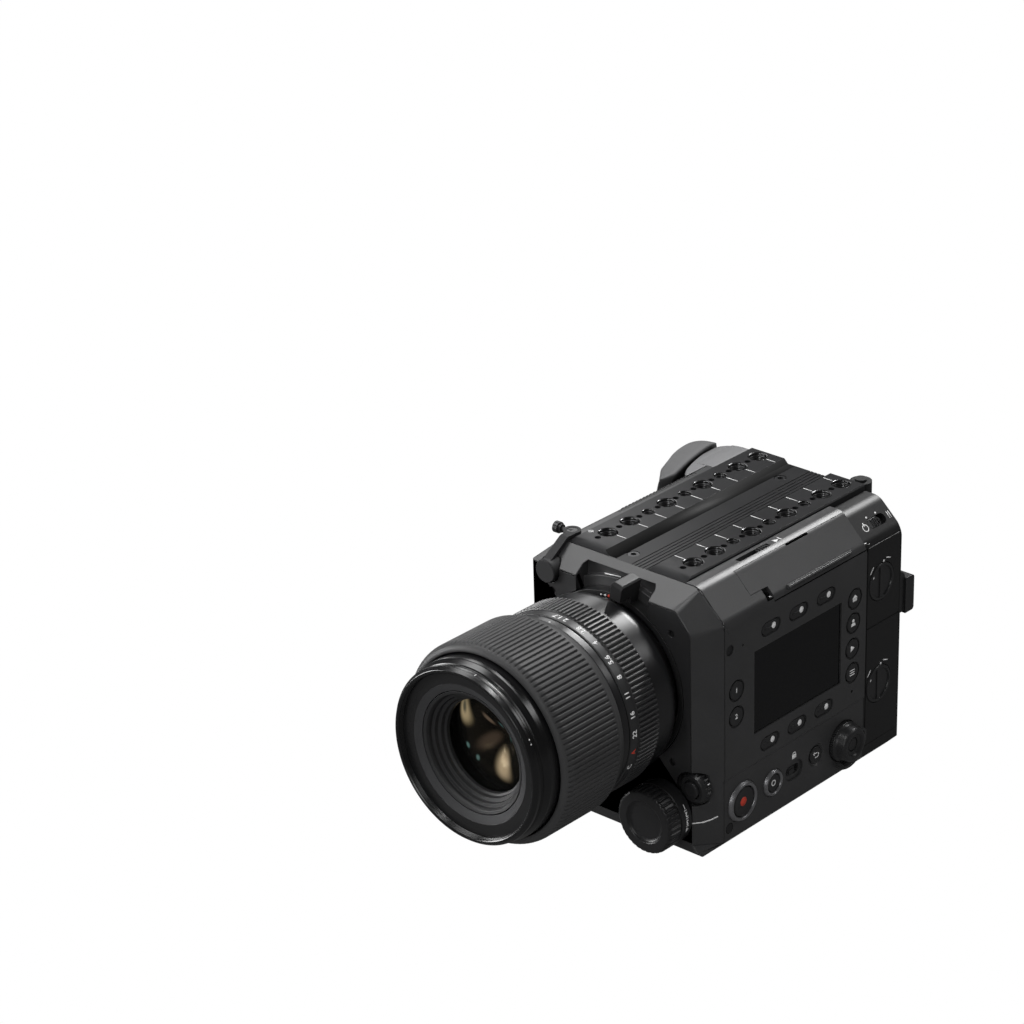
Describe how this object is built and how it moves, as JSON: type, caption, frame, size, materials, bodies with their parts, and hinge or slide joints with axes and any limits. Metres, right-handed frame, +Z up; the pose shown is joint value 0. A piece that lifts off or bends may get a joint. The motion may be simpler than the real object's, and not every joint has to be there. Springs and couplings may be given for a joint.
{
  "type": "cinema camera",
  "caption": "Box-shaped cinema camera body with a ribbed prime lens, side control panel and screen, threaded top plate, battery doors and a padded hand strap.",
  "frame": {"origin": "mouth of the 3/8 inch tripod thread in the base, directly below the lens axis", "axes": "+Z up, the lens looks along -Y, the operator's control side faces +X"},
  "size_m": [0.1409, 0.2521, 0.1341],
  "materials": {
    "body_paint": "fine satin dark grey paint",
    "panel_paint": "matt black paint",
    "rear_paint": "satin black paint",
    "plate_paint": "fine grained grey anodised plate",
    "lens_black": "black anodised aluminium",
    "ring_black": "ribbed black anodised aluminium",
    "rim_black": "satin black",
    "coated_glass": "multi-coated glass",
    "screen_glass": "dark cover glass",
    "module_black": "black",
    "key_plastic": "fine matt plastic",
    "dial_plastic": "satin black plastic",
    "rubber_black": "soft matt",
    "grip_grey": "smooth satin grey",
    "strap_black": "padded, finely textured",
    "mount_steel": "bare steel",
    "screw_black": "blackened steel",
    "pin_steel": "bare steel",
    "battery_plastic": "black",
    "board_green": "circuit board",
    "nd_black": "black anodised"
  },
  "bodies": {
    "camera": {"front_frame": "body_paint", "front_panel": "panel_paint", "body_shell": "body_paint", "side_panel": "body_paint", "top_plate": "plate_paint", "rear_housing": "rear_paint", "base_plate": "rear_paint", "rear_cover": "rear_paint", "rear_latch": "dial_plastic", "strap_lug": "rear_paint", "vent_grille": "rear_paint", "sensor_unit": "board_green", "nd_filter_unit": "nd_black", "lens_mount": "mount_steel", "lens_barrel": "lens_black", "front_barrel": "rim_black", "inner_baffle": "rim_black", "front_element": "coated_glass", "inner_elements": "coated_glass", "lcd_glass": "screen_glass", "lcd_module": "module_black", "dc_out_cap": "rubber_black", "tape_hook": "screw_black", "key_bezels": "lens_black", "batteries": "battery_plastic", "hinge_pins": "pin_steel", "case_screws": "screw_black", "grip_body": "grip_grey", "hand_strap": "strap_black"},
    "focus_ring": {"focus_ring": "ring_black"},
    "aperture_ring": {"aperture_ring": "ring_black"},
    "mount_lock_ring": {"mount_lock_ring": "lens_black"},
    "nd_dial": {"nd_dial": "dial_plastic"},
    "focus_mode_dial": {"focus_mode_dial": "dial_plastic"},
    "focus_mode_button": {"focus_mode_button": "dial_plastic"},
    "media_door": {"media_door": "body_paint"},
    "eject_slider": {"eject_slider": "dial_plastic"},
    "softkey_1": {"softkey_1": "key_plastic"},
    "softkey_2": {"softkey_2": "key_plastic"},
    "softkey_3": {"softkey_3": "key_plastic"},
    "softkey_4": {"softkey_4": "key_plastic"},
    "softkey_5": {"softkey_5": "key_plastic"},
    "softkey_6": {"softkey_6": "key_plastic"},
    "home_key": {"home_key": "key_plastic"},
    "user_key": {"user_key": "key_plastic"},
    "play_key": {"play_key": "key_plastic"},
    "menu_key": {"menu_key": "key_plastic"},
    "fn_key_1": {"fn_key_1": "key_plastic"},
    "fn_key_2": {"fn_key_2": "key_plastic"},
    "rec_button": {"rec_button": "key_plastic"},
    "clear_button": {"clear_button": "key_plastic"},
    "back_button": {"back_button": "key_plastic"},
    "lock_slider": {"lock_slider": "dial_plastic"},
    "encoder_dial": {"encoder_dial": "dial_plastic"},
    "encoder_button": {"encoder_button": "dial_plastic"},
    "power_slider": {"power_slider": "dial_plastic"},
    "battery_door_upper": {"battery_door_upper": "rear_paint"},
    "lock_dial_upper": {"lock_dial_upper": "dial_plastic"},
    "battery_door_lower": {"battery_door_lower": "rear_paint"},
    "lock_dial_lower": {"lock_dial_lower": "dial_plastic"}
  },
  "joints": [
    {"name": "focus_turn", "type": "hinge", "parent": "camera", "child": "focus_ring", "pos_m": [0, -0.14, 0.0758], "axis": [0, -1, 0], "continuous": true},
    {"name": "aperture_turn", "type": "hinge", "parent": "camera", "child": "aperture_ring", "pos_m": [0, -0.105, 0.0758], "axis": [0, -1, 0], "range_deg": [0, 112]},
    {"name": "mount_lock_turn", "type": "hinge", "parent": "camera", "child": "mount_lock_ring", "pos_m": [0, -0.0735, 0.0758], "axis": [0, -1, 0], "range_deg": [0, 25]},
    {"name": "nd_dial_turn", "type": "hinge", "parent": "camera", "child": "nd_dial", "pos_m": [0.031, -0.084, 0.0185], "axis": [0, -1, 0], "continuous": true},
    {"name": "focus_mode_turn", "type": "hinge", "parent": "camera", "child": "focus_mode_dial", "pos_m": [0.0455, -0.073, 0.0333], "axis": [0, -1, 0], "range_deg": [0, 60]},
    {"name": "focus_mode_press", "type": "slide", "parent": "focus_mode_dial", "child": "focus_mode_button", "axis": [0, 1, 0], "range_m": [0, 0.0006], "stiffness_N_per_m": 300},
    {"name": "media_door_swing", "type": "hinge", "parent": "camera", "child": "media_door", "pos_m": [0.0537, 0, 0.1139], "axis": [0, 1, 0], "range_deg": [0, 100]},
    {"name": "eject_slide", "type": "slide", "parent": "camera", "child": "eject_slider", "axis": [0, -1, 0], "range_m": [0, 0.0132], "stiffness_N_per_m": 20},
    {"name": "softkey_1_press", "type": "slide", "parent": "camera", "child": "softkey_1", "axis": [-1, 0, 0], "range_m": [0, 0.0008], "stiffness_N_per_m": 300},
    {"name": "softkey_2_press", "type": "slide", "parent": "camera", "child": "softkey_2", "axis": [-1, 0, 0], "range_m": [0, 0.0008], "stiffness_N_per_m": 300},
    {"name": "softkey_3_press", "type": "slide", "parent": "camera", "child": "softkey_3", "axis": [-1, 0, 0], "range_m": [0, 0.0008], "stiffness_N_per_m": 300},
    {"name": "softkey_4_press", "type": "slide", "parent": "camera", "child": "softkey_4", "axis": [-1, 0, 0], "range_m": [0, 0.0008], "stiffness_N_per_m": 300},
    {"name": "softkey_5_press", "type": "slide", "parent": "camera", "child": "softkey_5", "axis": [-1, 0, 0], "range_m": [0, 0.0008], "stiffness_N_per_m": 300},
    {"name": "softkey_6_press", "type": "slide", "parent": "camera", "child": "softkey_6", "axis": [-1, 0, 0], "range_m": [0, 0.0008], "stiffness_N_per_m": 300},
    {"name": "home_key_press", "type": "slide", "parent": "camera", "child": "home_key", "axis": [-1, 0, 0], "range_m": [0, 0.0008], "stiffness_N_per_m": 300},
    {"name": "user_key_press", "type": "slide", "parent": "camera", "child": "user_key", "axis": [-1, 0, 0], "range_m": [0, 0.0008], "stiffness_N_per_m": 300},
    {"name": "play_key_press", "type": "slide", "parent": "camera", "child": "play_key", "axis": [-1, 0, 0], "range_m": [0, 0.0008], "stiffness_N_per_m": 300},
    {"name": "menu_key_press", "type": "slide", "parent": "camera", "child": "menu_key", "axis": [-1, 0, 0], "range_m": [0, 0.0008], "stiffness_N_per_m": 300},
    {"name": "fn_key_1_press", "type": "slide", "parent": "camera", "child": "fn_key_1", "axis": [-1, 0, 0], "range_m": [0, 0.0008], "stiffness_N_per_m": 300},
    {"name": "fn_key_2_press", "type": "slide", "parent": "camera", "child": "fn_key_2", "axis": [-1, 0, 0], "range_m": [0, 0.0008], "stiffness_N_per_m": 300},
    {"name": "rec_button_press", "type": "slide", "parent": "camera", "child": "rec_button", "axis": [-1, 0, 0], "range_m": [0, 0.0008], "stiffness_N_per_m": 300},
    {"name": "clear_button_press", "type": "slide", "parent": "camera", "child": "clear_button", "axis": [-1, 0, 0], "range_m": [0, 0.0008], "stiffness_N_per_m": 300},
    {"name": "back_button_press", "type": "slide", "parent": "camera", "child": "back_button", "axis": [-1, 0, 0], "range_m": [0, 0.0008], "stiffness_N_per_m": 300},
    {"name": "lock_slide", "type": "slide", "parent": "camera", "child": "lock_slider", "axis": [0, 1, 0], "range_m": [0, 0.0033]},
    {"name": "encoder_turn", "type": "hinge", "parent": "camera", "child": "encoder_dial", "pos_m": [0.058, 0.0224, 0.02], "axis": [1, 0, 0], "continuous": true},
    {"name": "encoder_press", "type": "slide", "parent": "encoder_dial", "child": "encoder_button", "axis": [-1, 0, 0], "range_m": [0, 0.0007], "stiffness_N_per_m": 300},
    {"name": "power_slide", "type": "slide", "parent": "camera", "child": "power_slider", "axis": [0, 1, 0], "range_m": [0, 0.0038]},
    {"name": "battery_door_upper_swing", "type": "hinge", "parent": "camera", "child": "battery_door_upper", "pos_m": [0.054, 0.0412, 0.092], "axis": [0, 0, -1], "range_deg": [0, 95]},
    {"name": "lock_dial_upper_turn", "type": "hinge", "parent": "battery_door_upper", "child": "lock_dial_upper", "pos_m": [0.055, 0.0501, 0.092], "axis": [-1, 0, 0], "range_deg": [0, 60]},
    {"name": "battery_door_lower_swing", "type": "hinge", "parent": "camera", "child": "battery_door_lower", "pos_m": [0.054, 0.0412, 0.0392], "axis": [0, 0, -1], "range_deg": [0, 95]},
    {"name": "lock_dial_lower_turn", "type": "hinge", "parent": "battery_door_lower", "child": "lock_dial_lower", "pos_m": [0.055, 0.0494, 0.0392], "axis": [-1, 0, 0], "range_deg": [0, 60]}
  ]
}
